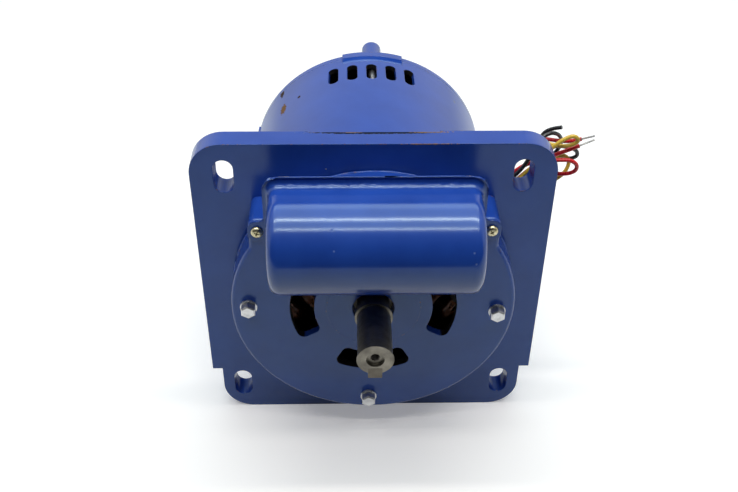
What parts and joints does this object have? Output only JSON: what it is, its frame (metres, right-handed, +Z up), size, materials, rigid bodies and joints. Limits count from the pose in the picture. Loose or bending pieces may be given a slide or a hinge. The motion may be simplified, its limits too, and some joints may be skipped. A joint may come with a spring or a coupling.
{
  "type": "electric motor",
  "caption": "Electric motor with a square mounting plate, a vented round end bell, a keyed shaft, a half-round capacitor cover and free wire leads; the shaft turns and works a starting switch.",
  "frame": {"origin": "middle of the overall box without the leads, at its bottom: under the shaft axis, level with the plate's bottom edge and halfway along the length", "axes": "+Z up, -Y to the front where the shaft points, +X to the right as seen from the front"},
  "size_m": [0.2293, 0.2304, 0.2019],
  "materials": {
    "blue_paint": "gloss enamel",
    "zinc": "bright zinc",
    "yellow_zinc": "yellow passivated zinc",
    "blackened_steel": "oiled and blackened",
    "key_steel": "cold drawn",
    "lamination_steel": "varnished stack",
    "cast_aluminium": "as cast",
    "copper_wire": "varnished enamelled copper",
    "lacing_tape": "varnished tape",
    "fibre_board": "laminated board",
    "bearing_steel": "ground",
    "spring_steel": "blued",
    "plain_steel": "pressed",
    "nylon": "moulded",
    "contact_brass": "stamped",
    "black_plastic": "moulded",
    "grommet_rubber": "moulded",
    "tinned_copper": "tinned strands",
    "red_insulation": "smooth",
    "black_insulation": "smooth",
    "yellow_insulation": "smooth"
  },
  "bodies": {
    "housing": {"arm_bracket": "contact_brass", "black_lead_middle": "black_insulation", "black_lead_upper": "black_insulation", "bolt_washers": "zinc", "capacitor_back_plate": "plain_steel", "capacitor_cover": "blue_paint", "capacitor_terminals": "contact_brass", "coil_sides": "copper_wire", "cover_screws": "yellow_zinc", "fixed_contact": "contact_brass", "flange_plate": "blue_paint", "flange_weld": "blue_paint", "front_bearing_circlip": "spring_steel", "front_bearing_outer_ring": "bearing_steel", "front_end_bell": "blue_paint", "front_main_winding": "copper_wire", "front_start_winding": "copper_wire", "front_winding_lacing": "lacing_tape", "lead_grommet": "grommet_rubber", "looped_lead_tip": "tinned_copper", "motor_shell": "blue_paint", "rear_bearing_outer_ring": "bearing_steel", "rear_end_bell": "blue_paint", "rear_main_winding": "copper_wire", "rear_start_winding": "copper_wire", "rear_winding_lacing": "lacing_tape", "red_lead_looped": "red_insulation", "red_lead_straight": "red_insulation", "slot_wedges": "fibre_board", "start_capacitor": "black_plastic", "stator_core": "lamination_steel", "straight_lead_tip": "tinned_copper", "switch_plate": "fibre_board", "switch_screws": "zinc", "through_bolts": "zinc", "wave_spring": "spring_steel", "yellow_lead_lower": "yellow_insulation", "yellow_lead_upper": "yellow_insulation"},
    "rotor": {"rotor_shaft": "blackened_steel", "shaft_key": "key_steel", "rotor_core": "lamination_steel", "rotor_cage": "cast_aluminium", "front_bearing_inner_ring": "bearing_steel", "rear_bearing_inner_ring": "bearing_steel", "governor_base": "plain_steel"},
    "collar": {"governor_collar": "nylon"},
    "weight_right": {"governor_weight_right": "plain_steel"},
    "weight_left": {"governor_weight_left": "plain_steel"},
    "contact_arm": {"contact_arm": "contact_brass"}
  },
  "joints": [
    {"name": "rotor_spin", "type": "hinge", "parent": "housing", "child": "rotor", "pos_m": [0, 0, 0.10405], "axis": [0, 1, 0], "continuous": true},
    {"name": "collar_slide", "type": "slide", "parent": "rotor", "child": "collar", "axis": [0, -1, 0], "range_m": [0, 0.003]},
    {"name": "weight_right_swing", "type": "hinge", "parent": "rotor", "child": "weight_right", "pos_m": [0.0232, 0.0717, 0.10405], "axis": [0, 0, 1], "range_deg": [0, 25]},
    {"name": "weight_left_swing", "type": "hinge", "parent": "rotor", "child": "weight_left", "pos_m": [-0.0232, 0.0717, 0.10405], "axis": [0, 0, -1], "range_deg": [0, 25]},
    {"name": "contact_arm_swing", "type": "hinge", "parent": "housing", "child": "contact_arm", "pos_m": [-0.037, 0.079, 0.10405], "axis": [0, 0, -1], "range_deg": [0, 9.2]}
  ],
  "couplings": [
    {"joint": "weight_right_swing", "follows": "collar_slide", "rad_per_m": 143},
    {"joint": "weight_left_swing", "follows": "collar_slide", "rad_per_m": 143},
    {"joint": "contact_arm_swing", "follows": "collar_slide", "rad_per_m": 52.6}
  ]
}
